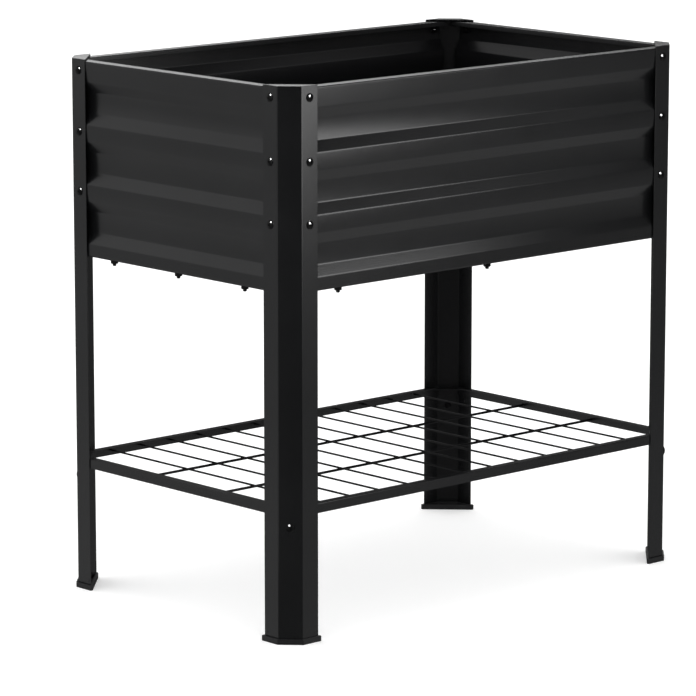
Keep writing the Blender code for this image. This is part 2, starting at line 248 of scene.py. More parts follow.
# Starts of the names of the pieces that some lights single out.
FASTENERS = ("head_", "nut_")
FAR_WALLS = ("wall_panel_rear", "wall_panel_right")
SHELF = ("shelf_", "cross_wire", "long_wire")

# Softboxes that reflections see: place, direction, width, height, radiance, roll in degrees, what they light.
SOFTBOXES = (
    ("front_box", (0.03, -1.1, 0.705), (0, 0.63, -0.777), 1.07, 0.98, 3.9, 0, "not_fasteners"),
    ("upper_right_box", (0.66, -0.68, 1.22), (-0.66, 0.43, -0.6), 0.95, 0.4, 0.22, 0, "all"),
    ("left_box", (-1.1, 0.77, 1.02), (0.66, -0.73, 0), 1.3, 0.8, 0.1, 0, "all"),
    ("rear_strip", (0.95, 1.0, 1.195), (-0.1, -1, -0.1), 1.6, 0.34, 1.6, -9.5, "all"),
    ("shelf_strip", (1.05, 1.15, 0.56), (-0.66, -0.73, 0), 1.6, 0.3, 0.14, 0, "all"),
    ("right_box", (1.03, -0.26, 0.4), (-0.66, 0.73, 0), 0.8, 0.8, 0.6, 0, "far_walls"),
    ("rear_box", (-0.30, 0.99, 0.4), (0.66, -0.73, 0), 0.9, 0.8, 0.6, 0, "far_walls"),
    ("rear_right_box", (0.70, 0.70, 0.4), (-0.66, -0.73, 0), 1.0, 0.8, 0.6, 0, "not_shelf"),
    ("left_end_box", (-0.97, -0.19, 0.4), (0.66, 0.73, 0), 0.7, 0.8, 0.6, 0, "not_shelf"),
    ("floor_glow", (0, 0, 0.002), (0, 0, 1), 2.2, 2.2, 0.06, 0, "all"),
)
SKY_STRENGTH = 3.7

# Bright boxes that make the highlights on the fasteners' domes: direction from the near corner, and size.
SPARKLES = (
    ("front_sparkle", (0.41, -0.87, 0.28), 1.2),
    ("left_sparkle", (-0.82, 0.27, 0.48), 0.95),
    ("corner_sparkle", (-0.82, -0.38, 0.38), 1.2),
)
SPARKLE_HEIGHT = 0.7
SPARKLE_DISTANCE = 3
SPARKLE_RADIANCE = 330

# Floor and camera.
FLOOR_RADIUS = 40
FLOOR_GLOW = 0.3
CAMERA_SPOT = (-4.119, -4.446, 1.504)
CAMERA_TURN = 47.57
CAMERA_PITCH = 10.81
SENSOR_WIDTH = 36
FOCAL_LENGTH = 210.77586


def place_matrix(place):
    """The frame of a corner or a side, as a matrix."""
    across, along, turn = place
    spot = Matrix.Translation((across * HALF_LENGTH, along * HALF_WIDTH, 0))
    return spot @ Matrix.Rotation(math.radians(turn), 4, "Z")


# Materials.


def new_material(name, colour, roughness, specular):
    """A Principled material with its even values set: the material, its nodes, its shader and a position."""
    made = bpy.data.materials.new(name)
    made.use_nodes = True
    tree = made.node_tree
    shader = tree.nodes["Principled BSDF"]
    shader.inputs["Base Color"].default_value = (*colour, 1)
    shader.inputs["Roughness"].default_value = roughness
    shader.inputs["Specular IOR Level"].default_value = specular
    shader.inputs["IOR"].default_value = 1.5
    coordinates = tree.nodes.new("ShaderNodeTexCoord")
    return made, tree, shader, coordinates.outputs["Object"]


def noise(tree, coordinates, scale, detail=2.0, roughness=0.5, distortion=0.0):
    texture = tree.nodes.new("ShaderNodeTexNoise")
    texture.inputs["Scale"].default_value = scale
    texture.inputs["Detail"].default_value = detail
    texture.inputs["Roughness"].default_value = roughness
    texture.inputs["Distortion"].default_value = distortion
    tree.links.new(coordinates, texture.inputs["Vector"])
    return texture.outputs["Fac"]


def spread(tree, value, low, high, start=0.3, end=0.7):
    """The value from start to end, mapped to low to high."""
    node = tree.nodes.new("ShaderNodeMapRange")
    node.inputs["From Min"].default_value = start
    node.inputs["From Max"].default_value = end
    node.inputs["To Min"].default_value = low
    node.inputs["To Max"].default_value = high
    tree.links.new(value, node.inputs["Value"])
    return node.outputs["Result"]


def colour_mix(tree, factor, first, second):
    """A mix of two colours, each a tuple or another node's output."""
    node = tree.nodes.new("ShaderNodeMix")
    node.data_type = "RGBA"
    tree.links.new(factor, node.inputs["Factor"])
    for socket, value in ((node.inputs[6], first), (node.inputs[7], second)):
        if isinstance(value, tuple):
            socket.default_value = (*value, 1)
        else:
            tree.links.new(value, socket)
    return node.outputs[2]


def bump(tree, height, distance, below=None):
    node = tree.nodes.new("ShaderNodeBump")
    node.inputs["Strength"].default_value = 1.0
    node.inputs["Distance"].default_value = distance
    tree.links.new(height, node.inputs["Height"])
    if below is not None:
        tree.links.new(below, node.inputs["Normal"])
    return node.outputs["Normal"]


def powder_coat(name, colour, specular):
    """Satin powder coat: fine orange peel over slightly wavy sheet, with faint cloudiness and fine flecks."""
    made, tree, shader, at = new_material(name, colour, COAT_ROUGHNESS, specular)
    dark = tuple(0.86 * c for c in colour)
    light = tuple(1.16 * c for c in colour)
    cloud = noise(tree, at, 7.0, 3.0, 0.55)
    flecks = noise(tree, at, 1600.0, 1.0)
    clouded = colour_mix(tree, spread(tree, cloud, 0.0, 1.0), dark, light)
    fleck = tuple(2.2 * c for c in colour)
    flecked = colour_mix(tree, spread(tree, flecks, 0.0, 0.35, 0.62, 0.8), clouded, fleck)
    tree.links.new(flecked, shader.inputs["Base Color"])
    smears = noise(tree, at, 22.0, 4.0, 0.6, 0.4)
    gloss = spread(tree, smears, COAT_ROUGHNESS - COAT_SMEARS, COAT_ROUGHNESS + COAT_SMEARS)
    tree.links.new(gloss, shader.inputs["Roughness"])
    sheet = bump(tree, noise(tree, at, 9.0, 1.0), COAT_WAVINESS)
    skin = bump(tree, noise(tree, at, 420.0, 2.0), COAT_PEEL, sheet)
    tree.links.new(skin, shader.inputs["Normal"])
    return made


def moulded_plastic(name, colour, roughness, specular):
    """Spark-textured black plastic with faint scuffs."""
    made, tree, shader, at = new_material(name, colour, roughness, specular)
    scuffs = noise(tree, at, 60.0, 6.0, 0.65, 0.8)
    scuff = tuple(2.4 * c for c in colour)
    scuffed = colour_mix(tree, spread(tree, scuffs, 0.0, 0.5, 0.56, 0.72), colour, scuff)
    tree.links.new(scuffed, shader.inputs["Base Color"])
    tree.links.new(spread(tree, scuffs, roughness - 0.08, roughness + 0.1), shader.inputs["Roughness"])
    texture = bump(tree, noise(tree, at, 1300.0, 2.0), 0.00006)
    tree.links.new(texture, shader.inputs["Normal"])
    return made


def black_plating(name, colour, roughness, specular):
    """Glossy black zinc with fine cloudiness, and a slightly rubbed look where the noise is high."""
    made, tree, shader, at = new_material(name, colour, roughness, specular)
    cloud = noise(tree, at, 380.0, 3.0, 0.6)
    clouded = colour_mix(tree, spread(tree, cloud, 0.0, 1.0), colour, tuple(1.9 * c for c in colour))
    tree.links.new(clouded, shader.inputs["Base Color"])
    tree.links.new(spread(tree, cloud, roughness - 0.02, roughness + 0.03), shader.inputs["Roughness"])
    tree.links.new(bump(tree, noise(tree, at, 900.0, 1.0), 0.00001), shader.inputs["Normal"])
    return made


# Mesh building. Scratch objects hold modifiers, and baked() makes one plain mesh of them.


def scratch(bm, name="scratch"):
    bmesh.ops.recalc_face_normals(bm, faces=bm.faces)
    mesh = bpy.data.meshes.new(name)
    bm.to_mesh(mesh)
    bm.free()
    obj = bpy.data.objects.new(name, mesh)
    bpy.context.scene.collection.objects.link(obj)
    return obj


def prism(outline, low, high):
    """A flat outline in XY, raised from low to high."""
    bm = bmesh.new()
    face = bm.faces.new([bm.verts.new((x, y, low)) for x, y in outline])
    raised = bmesh.ops.extrude_face_region(bm, geom=[face])
    top = [part for part in raised["geom"] if isinstance(part, bmesh.types.BMVert)]
    bmesh.ops.translate(bm, verts=top, vec=(0, 0, high - low))
    return scratch(bm)


def rods(ends, radius, steps):
    """Cylinders between pairs of points, as one scratch object."""
    bm = bmesh.new()
    for start, end in ends:
        start, end = Vector(start), Vector(end)
        turn = (end - start).to_track_quat("Z", "Y").to_matrix().to_4x4()
        bmesh.ops.create_cone(
            bm, cap_ends=True, segments=steps, radius1=radius, radius2=radius, depth=(end - start).length,
            matrix=Matrix.Translation((start + end) / 2) @ turn,
        )
    return scratch(bm)


def sheet_along(profile, half_length, thickness):
    """An open strip: a profile in YZ swept along X, thickened to the profile's left."""
    bm = bmesh.new()
    line = [bm.verts.new((-half_length, y, z)) for y, z in profile]
    edges = [bm.edges.new(pair) for pair in zip(line, line[1:])]
    swept = bmesh.ops.extrude_edge_only(bm, edges=edges)["geom"]
    far = [part for part in swept if isinstance(part, bmesh.types.BMVert)]
    bmesh.ops.translate(bm, verts=far, vec=(2 * half_length, 0, 0))
    obj = scratch(bm)
    solid = obj.modifiers.new("thickness", "SOLIDIFY")
    solid.thickness = thickness
    solid.offset = 1 if facing_left(obj.data, profile) else -1
    solid.use_even_offset = True
    return obj


def facing_left(mesh, profile):
    """Whether the swept strip's normals point to the left of the profile's direction."""
    (y0, z0), (y1, z1) = profile[0], profile[1]
    left = Vector((0, -(z1 - z0), y1 - y0))
    middle = Vector((0, (y0 + y1) / 2, (z0 + z1) / 2))
    nearest = min(mesh.polygons, key=lambda face: (face.center.yz - middle.yz).length)
    return nearest.normal.dot(left) > 0


def boolean(obj, other, operation="DIFFERENCE"):
    step = obj.modifiers.new(operation.lower(), "BOOLEAN")
    step.operation = operation
    step.object = other


def eased(obj, width, segments=2):
    """Small bevels on the object's sharp edges."""
    bevel = obj.modifiers.new("eased_edges", "BEVEL")
    bevel.width = width
    bevel.segments = segments
    bevel.limit_method = "ANGLE"
    bevel.angle_limit = math.radians(EASED_ANGLE)
    bevel.use_clamp_overlap = True


def smoothed(mesh, angle=SMOOTH_ANGLE):
    mesh.shade_smooth()
    mesh.set_sharp_from_angle(angle=math.radians(angle))
    return mesh


def baked(obj, helpers=(), angle=SMOOTH_ANGLE):
    """The evaluated mesh of a scratch object. The object and its helpers are removed."""
    bpy.context.view_layer.update()
    graph = bpy.context.evaluated_depsgraph_get()
    mesh = bpy.data.meshes.new_from_object(obj.evaluated_get(graph))
    for used in (obj, *helpers):
        bpy.data.objects.remove(used)
    return smoothed(mesh, angle)


def filleted(points, radius, steps):
    """The polyline with its inner corners rounded. radius is one number, or one for each point."""
    radii = radius if isinstance(radius, list) else [radius] * len(points)
    rounded = [points[0]]
    for before, point, after, wanted in zip(points, points[1:], points[2:], radii[1:]):
        here = Vector(point)
        back, on = Vector(before) - here, Vector(after) - here
        half = back.angle(on) / 2
        if math.pi - 2 * half < math.radians(FLATTEST_BEND):
            rounded.append(point)
            continue
        reach = min(wanted / math.tan(half), BEND_SHARE * back.length, BEND_SHARE * on.length)
        true_radius = reach * math.tan(half)
        centre = here + (back.normalized() + on.normalized()).normalized() * true_radius / math.sin(half)
        first = here + back.normalized() * reach - centre
        sweep = first.angle_signed(here + on.normalized() * reach - centre)
        for step in range(steps + 1):
            arm = first.copy()
            arm.rotate(Matrix.Rotation(-sweep * step / steps, 2))
            rounded.append(tuple(centre + arm))
    return [*rounded, points[-1]]


def show(name, mesh, look, nodes, matrix=None):
    """A piece in place of CAD nodes, riding on the root body. The matrix goes into its mesh."""
    if matrix is not None:
        mesh = mesh.copy()
        mesh.transform(matrix)
    mesh.materials.clear()
    mesh.materials.append(look)
    obj = bpy.data.objects.new(name, mesh)
    bpy.context.scene.collection.objects.link(obj)
    steady = obj.modifiers.new("steady_normals", "WEIGHTED_NORMAL")
    steady.keep_sharp = True
    steady.weight = 80
    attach(obj, "root")
    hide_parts(*nodes)


# Legs and foot caps.


def closed_outline(outwards, lip):
    """The leg in plan, closed by a diagonal between its free edges, and grown outwards."""
    outer = LEG_CHAMFER - (ROOT_2 - 1) * outwards
    side = LEG_SIDE + outwards
    return [
        (side, -outwards), (outer, -outwards), (-outwards, outer), (-outwards, side),
        (lip, side), (side, lip),
    ]


def strip_outline(outwards, inwards, side):
    """The bent strip in plan, its outer face moved out and its inner face set in by these amounts."""
    outer = LEG_CHAMFER - (ROOT_2 - 1) * outwards
    inner = LEG_CHAMFER + (ROOT_2 - 1) * inwards
    return [
        (side, -outwards), (outer, -outwards), (-outwards, outer), (-outwards, side),
        (inwards, side), (inwards, inner), (inner, inwards), (side, inwards),
    ]


def add_dimple(bm, spot, turn):
    """A shallow dome on a leg's outer face, its axis turned from +Z."""
    flat = Matrix.Diagonal((1, 1, (DIMPLE_RISE + DIMPLE_SINK) / DIMPLE_RADIUS, 1))
    bmesh.ops.create_uvsphere(
        bm, u_segments=32, v_segments=16, radius=DIMPLE_RADIUS, matrix=Matrix.Translation(spot) @ turn @ flat,
    )


def leg_mesh():
    corners = closed_outline(0, LEG_SHEET)
    outline = [*filleted(corners[0:4], LEG_BEND, LEG_BEND_STEPS), *corners[4:]]
    body = prism(outline, LEG_BOTTOM, LEG_TOP)
    inner = LEG_CHAMFER + (ROOT_2 - 1) * LEG_SHEET
    far = 2 * LEG_SIDE
    bends = [(far, LEG_SHEET), (inner, LEG_SHEET), (LEG_SHEET, inner), (LEG_SHEET, far)]
    inside = [*filleted(bends, LEG_BEND - LEG_SHEET, LEG_BEND_STEPS), (far, far)]
    hollow = prism(inside, -LEG_SIDE, LEG_TOP - LEG_SHEET)
    boolean(body, hollow)
    eased(body, LEG_EDGE)
    leg = baked(body, (hollow,))
    bm = bmesh.new()
    bm.from_mesh(leg)
    along = LEG_SIDE - DIMPLE_INSET
    add_dimple(bm, (along, DIMPLE_SINK, DIMPLE_HEIGHT), Matrix.Rotation(math.pi / 2, 4, "X"))
    add_dimple(bm, (DIMPLE_SINK, along, DIMPLE_HEIGHT), Matrix.Rotation(-math.pi / 2, 4, "Y"))
    bm.to_mesh(leg)
    bm.free()
    return smoothed(leg)


def cap_mesh():
    rim_lip = CAP_RIM * (ROOT_2 - 1)
    corners = closed_outline(CAP_RIM, rim_lip)
    outline = [*filleted(corners[0:4], CAP_BEND, CAP_BEND_STEPS), *corners[4:]]
    body = prism(outline, 0, CAP_HEIGHT)
    above = CAP_HEIGHT + CAP_CUT_ABOVE
    channel = prism(strip_outline(GAP / 2, LEG_SHEET + GAP / 2, LEG_SIDE + GAP), CAP_BASE, above)
    inner = LEG_SHEET + GAP + CAP_WALL
    bend = LEG_CHAMFER + (ROOT_2 - 1) * inner
    far = LEG_SIDE + rim_lip - inner - CAP_WALL * ROOT_2
    pocket = prism([(far, inner), (bend, inner), (inner, bend), (inner, far)], CAP_BASE, above)
    boolean(body, channel)
    boolean(body, pocket)
    eased(body, CAP_EDGE, 3)
    return baked(body, (channel, pocket))


# Wall panels and tray.


def bowed(depth, top, bottom, tilts, steps):
    """Points down a shallow bow whose face looks up by these angles at its ends, its mean depth as given."""
    span = (top - bottom) / steps
    drop = 0
    points = [(0, top)]
    for step in range(steps):
        tilt = tilts[0] + (tilts[1] - tilts[0]) * (step + 0.5) / steps
        drop -= span * math.tan(math.radians(tilt))
        points.append((drop, top - span * (step + 1)))
    mean = sum(point[0] for point in points) / len(points)
    return [(depth + point[0] - mean, point[1]) for point in points]


def wall_profile():
    """The outer face of a wall panel, from the tip of the rim's lip to the edge of the bottom flange."""
    lip = RIM_WIDTH - WALL_SHEET
    points = [(lip, WALL_TOP - RIM_LIP), (lip - LIP_LEAN, WALL_TOP)]
    face = (CREST_DEPTHS[0], WALL_TOP, TOP_TILTS)
    valleys = zip(VALLEY_CENTRES, VALLEY_DEPTHS, VALLEY_TILTS, CREST_DEPTHS, CREST_TILTS)
    for centre, valley_depth, valley_tilts, crest_depth, crest_tilts in valleys:
        depth, top, tilts = face
        upper, lower = centre + VALLEY_HALF, centre - VALLEY_HALF
        points += bowed(depth, top, upper + SLOPE_HEIGHT, tilts, CREST_STEPS)
        points += bowed(valley_depth, upper, lower, valley_tilts, VALLEY_STEPS)
        face = (crest_depth, lower - SLOPE_HEIGHT, crest_tilts)
    points += [face[:2], (face[0], WALL_BOTTOM), (RIM_WIDTH, WALL_BOTTOM)]
    radii = [0, RIM_BEND / 2, RIM_BEND, *[SLOPE_BEND] * (len(points) - 5), FOOT_BEND, 0]
    return [(WALL_FACE + depth, height) for depth, height in filleted(points, radii, WALL_BEND_STEPS)]


def wall_mesh(half_side):
    panel = sheet_along(wall_profile(), half_side - WALL_END, WALL_SHEET)
    eased(panel, WALL_EDGE)
    return baked(panel)


def tray_mesh():
    half_x, half_y = tray_high.x, tray_high.y
    low = tray_low.z
    profile = [(-half_y, low)]
    for centre in (-RIB_OFFSET, RIB_OFFSET):
        profile += [
            (centre - RIB_HALF, low), (centre - RIB_HALF + RIB_SLOPE, low + RIB_HEIGHT),
            (centre + RIB_HALF - RIB_SLOPE, low + RIB_HEIGHT), (centre + RIB_HALF, low),
        ]
    profile.append((half_y, low))
    plate = sheet_along(filleted(profile, TRAY_BEND, TRAY_BEND_STEPS), half_x, TRAY_SHEET)
    under, over = low - CUT_UNDER, low + CUT_OVER
    holes = [((x, y, under), (x, y, over)) for x in DRAIN_COLUMNS for y in DRAIN_ROWS]
    drains = rods(holes, DRAIN_RADIUS, DRAIN_STEPS)
    cut = TRAY_CORNER
    across, along = HALF_LENGTH, HALF_WIDTH
    octagon = [
        (across - cut, -along), (across, cut - along), (across, along - cut), (across - cut, along),
        (cut - across, along), (-across, along - cut), (-across, cut - along), (cut - across, -along),
    ]
    outline = prism(octagon, under, over)
    boolean(plate, outline, "INTERSECT")
    boolean(plate, drains)
    return baked(plate, (outline, drains))


# Shelf.


def rail_mesh(half_side):
    outer = LEG_SHEET + GAP
    low, high = SHELF_TOP - RAIL_HEIGHT, SHELF_TOP
    corners = [(outer + RAIL_WIDTH, high), (outer, high), (outer, low)]
    profile = filleted(corners, RAIL_BEND, RAIL_BEND_STEPS)
    rail = sheet_along(profile, half_side - WALL_END, RAIL_SHEET)
    eased(rail, SHELF_EDGE)
    return baked(rail)


def tab_mesh():
    """A plate behind the leg's chamfer, with a gusset under the rails at its top."""
    face = (LEG_CHAMFER / ROOT_2) + LEG_SHEET + GAP
    top = SHELF_TOP - RAIL_SHEET - GAP
    half = TAB_WIDTH / 2
    plate = prism(
        [(face, -half), (face + RAIL_SHEET, -half), (face + RAIL_SHEET, half), (face, half)], TAB_BOTTOM, top,
    )
    plate.data.transform(Matrix.Rotation(math.radians(45), 4, "Z"))
    edge = LEG_SHEET + RAIL_SHEET + 2 * GAP
    start = (face + RAIL_SHEET / 2) * ROOT_2 - edge
    gusset = prism(
        [(start, edge), (GUSSET_REACH, edge), (edge, GUSSET_REACH), (edge, start)], top - RAIL_SHEET, top,
    )
    boolean(plate, gusset, "UNION")
    eased(plate, SHELF_EDGE)
    return baked(plate, (gusset,))


def wire_mesh(start, end, radius):
    """A drawn wire with slightly rounded ends."""
    wire = rods([(start, end)], radius, WIRE_STEPS)
    eased(wire, WIRE_EDGE)
    return baked(wire)


def weld_bead(bm, spot, size, rng):
    """A small uneven blob of weld metal. size is its half width along each axis."""
    made = bmesh.ops.create_icosphere(bm, subdivisions=3, radius=1.0)
    swirl = rng.uniform(0, math.tau)
    for vert in made["verts"]:
        x, y, z = vert.co
        ripple = 1 + 0.10 * math.sin(5 * x + swirl) * math.cos(4 * y - swirl) + 0.06 * math.sin(7 * z + swirl)
        vert.co = Vector(spot) + Vector((x * size[0], y * size[1], z * size[2])) * ripple


def build_shelf():
    long_rail, short_rail, tab = rail_mesh(HALF_LENGTH), rail_mesh(HALF_WIDTH), tab_mesh()
    for side, place in SIDES.items():
        mesh = long_rail if side in ("front", "rear") else short_rail
        matrix = place_matrix(place)
        show(f"shelf_angle_{side}", mesh, shelf_coat, [f"shelf_rail_{side}"], matrix)
    for corner, place in CORNERS.items():
        matrix = place_matrix(place)
        show(f"corner_tab_{corner}", tab, shelf_coat, [f"shelf_tab_{corner}"], matrix)
    half_x, half_y = grid_high.x + GAP, grid_high.y + GAP
    middle = (CROSS_COUNT - 1) / 2
    places = [(number - middle) * CROSS_PITCH for number in range(CROSS_COUNT)]
    for number, x in enumerate(places, 1):
        wire = wire_mesh((x, -half_y, CROSS_HEIGHT), (x, half_y, CROSS_HEIGHT), CROSS_RADIUS)
        show(f"cross_wire_{number:02d}", wire, wire_coat, ["shelf_grid"])
    for number, y in enumerate((-LONG_OFFSET, LONG_OFFSET), 1):
        wire = wire_mesh((-half_x, y, LONG_HEIGHT), (half_x, y, LONG_HEIGHT), LONG_RADIUS)
        show(f"long_wire_{number}", wire, wire_coat, ["shelf_grid"])
    rng = random.Random(11)
    bm = bmesh.new()
    for x in places:
        for y in (-half_y, half_y):
            weld_bead(bm, (x, y, CROSS_HEIGHT), CROSS_END_BEAD, rng)
        for y in (-LONG_OFFSET, LONG_OFFSET):
            weld_bead(bm, (x, y, (CROSS_HEIGHT + LONG_HEIGHT) / 2), CROSSING_BEAD, rng)
    for y in (-LONG_OFFSET, LONG_OFFSET):
        for x in (-half_x, half_x):
            weld_bead(bm, (x, y, LONG_HEIGHT), LONG_END_BEAD, rng)
    show("shelf_welds", baked(scratch(bm)), shelf_coat, ["shelf_grid"])


# Fasteners.


def turned(profile, steps):
    """A solid of revolution about Z, closed on the axis at both ends."""
    bm = bmesh.new()
    line = [bm.verts.new((radius, 0, height)) for radius, height in profile]
    for pair in zip(line, line[1:]):
        bm.edges.new(pair)
    bmesh.ops.spin(
        bm, geom=[*bm.verts, *bm.edges], axis=(0, 0, 1), cent=(0, 0, 0), steps=steps, angle=math.tau,
        use_duplicate=False,
    )
    bmesh.ops.remove_doubles(bm, verts=bm.verts, dist=1e-6)
    bmesh.ops.dissolve_degenerate(bm, edges=bm.edges, dist=1e-7)
    return bm


def screw_mesh(grip):
    """A domed screw with a cross recess, and a helical thread from the nut to the tip."""
    dome = HEAD_HEIGHT - HEAD_EDGE
    sphere = (HEAD_RADIUS**2 + dome**2) / (2 * dome)
    rise = math.asin(HEAD_RADIUS / sphere)
    profile = []
    for ring in range(HEAD_RINGS + 1):
        angle = rise * ring / HEAD_RINGS
        profile.append((sphere * math.sin(angle), HEAD_HEIGHT - sphere * (1 - math.cos(angle))))
    profile += [(HEAD_RADIUS, HEAD_CHAMFER), (HEAD_RADIUS - HEAD_CHAMFER, 0)]
    profile += [(SHANK_RADIUS, 0), (SHANK_RADIUS, -grip)]
    tip = -(grip + GAP + NUT_HEIGHT + TIP_LENGTH)
    rows = int((-grip - tip - TIP_STRAIGHT) / THREAD_PITCH * THREAD_ROWS_PER_TURN)
    for row in range(rows):
        profile.append((SHANK_RADIUS, -grip - THREAD_PITCH * (row + 1) / THREAD_ROWS_PER_TURN))
    profile += [(SHANK_RADIUS - TIP_CHAMFER, tip), (0, tip)]
    bm = turned(profile, SCREW_STEPS)
    for vert in bm.verts:
        radius = math.hypot(vert.co.x, vert.co.y)
        if vert.co.z < -grip and radius > SHANK_RADIUS - TIP_CHAMFER / 2:
            phase = (vert.co.z / THREAD_PITCH + math.atan2(vert.co.y, vert.co.x) / math.tau) % 1.0
            groove = THREAD_DEPTH * (1 - abs(2 * phase - 1))
            vert.co.x *= (radius - groove) / radius
            vert.co.y *= (radius - groove) / radius
    screw, recess = scratch(bm), recess_tool()
    boolean(screw, recess)
    return baked(screw, (recess,), angle=40)


def recess_tool():
    """A cross that narrows downwards, for the driver's recess."""
    arm, half = RECESS_LENGTH / 2, RECESS_WIDTH / 2
    cross = [
        (half, half), (arm, half), (arm, -half), (half, -half), (half, -arm), (-half, -arm),
        (-half, -half), (-arm, -half), (-arm, half), (-half, half), (-half, arm), (half, arm),
    ]
    tool = prism(cross, HEAD_HEIGHT - RECESS_DEPTH, HEAD_HEIGHT + RECESS_CUT_ABOVE)
    for vert in tool.data.vertices:
        if vert.co.z < HEAD_HEIGHT:
            vert.co.x *= RECESS_TAPER
            vert.co.y *= RECESS_TAPER
    return tool


def nut_mesh():
    """A hexagon nut with chamfered corners, its top at Z = 0. A ring is a radius and a drop at each angle."""
    flat = NUT_ACROSS_CORNERS / 2 * math.cos(math.pi / NUT_SIDES)
    slope = math.tan(math.radians(NUT_CHAMFER_ANGLE))
    angles = [math.tau * step / NUT_STEPS for step in range(NUT_STEPS)]
    side = []
    for angle in angles:
        within = (angle + math.pi / NUT_SIDES) % (math.tau / NUT_SIDES) - math.pi / NUT_SIDES
        reach = flat / math.cos(within)
        side.append((reach, NUT_EDGE + (reach - flat) * slope))
    face = [(flat - NUT_CHAMFER, 0)] * NUT_STEPS
    mouth = [(SHANK_RADIUS + NUT_MOUTH, 0)] * NUT_STEPS
    bore = [(SHANK_RADIUS - NUT_GRIP, NUT_BORE_CHAMFER)] * NUT_STEPS
    bm = bmesh.new()
    loops = []
    for ring, upper in (
        (face, True), (side, True), (side, False), (face, False),
        (mouth, False), (bore, False), (bore, True), (mouth, True),
    ):
        loop = []
        for angle, (radius, drop) in zip(angles, ring):
            height = -drop if upper else drop - NUT_HEIGHT
            loop.append(bm.verts.new((radius * math.cos(angle), radius * math.sin(angle), height)))
        loops.append(loop)
    for here, there in zip(loops, [*loops[1:], loops[0]]):
        for step in range(NUT_STEPS):
            after = (step + 1) % NUT_STEPS
            bm.faces.new((here[step], here[after], there[after], there[step]))
    return baked(scratch(bm), angle=25)


def aimed(spot, direction):
    """A frame at this spot whose +Z points along the direction."""
    return Matrix.Translation(spot) @ direction.to_track_quat("Z", "Y").to_matrix().to_4x4()


def seat_of(node, direction):
    """The point on a CAD fastener's axis where its head sits, for an axis in this direction."""
    side = direction.orthogonal().normalized()
    other = direction.cross(side)
    points = [vert.co for vert in frame["nodes"][node].data.vertices]
    spot = Vector()
    for axis in (side, other):
        along = [point.dot(axis) for point in points]
        spot += axis * (min(along) + max(along)) / 2
    return spot + direction * (max(point.dot(direction) for point in points) - GAP - HEAD_HEIGHT)


def build_fasteners():
    flange_grip = LEG_SHEET + GAP + WALL_SHEET
    shelf_grip = LEG_SHEET + GAP + RAIL_SHEET
    tray_grip = TRAY_SHEET + GAP + WALL_SHEET
    screws = {grip: screw_mesh(grip) for grip in (flange_grip, shelf_grip, tray_grip)}
    nut = nut_mesh()
    wanted = []
    for corner, (_, _, turn) in CORNERS.items():
        turned_by = Matrix.Rotation(math.radians(turn), 3, "Z")
        for face, direction in (("a", (0, -1, 0)), ("b", (-1, 0, 0))):
            for number in (1, 2, 3):
                wanted.append((f"screw_{corner}_{face}{number}", turned_by @ Vector(direction), flange_grip))
        wanted.append((f"shelf_screw_{corner}", (turned_by @ Vector((-1, -1, 0))).normalized(), shelf_grip))
    bolts = [node for node in sorted(frame["nodes"]) if node.startswith("tray_bolt")]
    wanted += [(node, Vector((0, 0, 1)), tray_grip) for node in bolts]
    rng = random.Random(5)
    for node, direction, grip in wanted:
        place = aimed(seat_of(node, direction), direction) @ Matrix.Rotation(rng.uniform(0, math.tau), 4, "Z")
        nut_turn = Matrix.Rotation(rng.uniform(0, math.tau), 4, "Z")
        show(f"head_{node}", screws[grip], plating, [node], place)
        nut_place = place @ Matrix.Translation((0, 0, -grip - NUT_GAP)) @ nut_turn
        show(f"nut_{node}", nut, plating, [node], nut_place)


def build_body():
    leg, cap = leg_mesh(), cap_mesh()
    for corner, place in CORNERS.items():
        matrix = place_matrix(place)
        show(f"corner_leg_{corner}", leg, coat, [f"leg_{corner}"], matrix)
        show(f"cap_moulding_{corner}", cap, plastic, [f"foot_cap_{corner}"], matrix)
    long_wall, short_wall = wall_mesh(HALF_LENGTH), wall_mesh(HALF_WIDTH)
    for side, place in SIDES.items():
        mesh = long_wall if side in ("front", "rear") else short_wall
        show(f"wall_panel_{side}", mesh, coat, [f"wall_{side}"], place_matrix(place))
    show("tray_plate", tray_mesh(), coat, ["floor_tray"])


# Studio.


def place_light(name, data, spot, direction, roll=0):
    """A light that the camera doesn't see, aimed along the direction and rolled about it by these degrees."""
    light = bpy.data.objects.new(name, data)
    light.location = spot
    light.rotation_mode = "QUATERNION"
    aim = Vector(direction).to_track_quat("-Z", "Y")
    light.rotation_quaternion = aim @ Quaternion((0, 0, 1), math.radians(roll))
    light.visible_camera = False
    bpy.context.scene.collection.objects.link(light)
    return light


def reflected_box(name, spot, direction, size_x, size_y, radiance, roll=0):
    """A softbox that shows only in glossy reflections, so that it doesn't mark the floor."""
    data = bpy.data.lights.new(name, "AREA")
    data.shape = "RECTANGLE"
    data.size = size_x
    data.size_y = size_y
    data.energy = radiance * math.pi * size_x * size_y
    light = place_light(name, data, spot, direction, roll)
    light.visible_diffuse = False
    return light


def light_group(name, starts, state):
    """The pieces whose names start so, for a light that lights only them (INCLUDE) or not them (EXCLUDE)."""
    group = bpy.data.collections.new(name)
    for obj in bpy.data.objects:
        if obj.name.startswith(starts):
            group.objects.link(obj)
    for entry in group.collection_objects:
        entry.light_linking.link_state = state
    return group


def build_floor():
    bm = bmesh.new()
    bmesh.ops.create_circle(bm, cap_ends=True, segments=96, radius=FLOOR_RADIUS)
    floor = scratch(bm, "studio_floor")
    made, tree, shader, at = new_material("pale_floor", (0.86, 0.86, 0.86), 0.9, 0.1)
    tint = colour_mix(tree, noise(tree, at, 1.5, 2.0), (0.85, 0.85, 0.85), (0.87, 0.87, 0.87))
    tree.links.new(tint, shader.inputs["Base Color"])
    shader.inputs["Emission Color"].default_value = (1, 1, 1, 1)
    shader.inputs["Emission Strength"].default_value = FLOOR_GLOW
    floor.data.materials.append(made)
    floor.visible_glossy = False


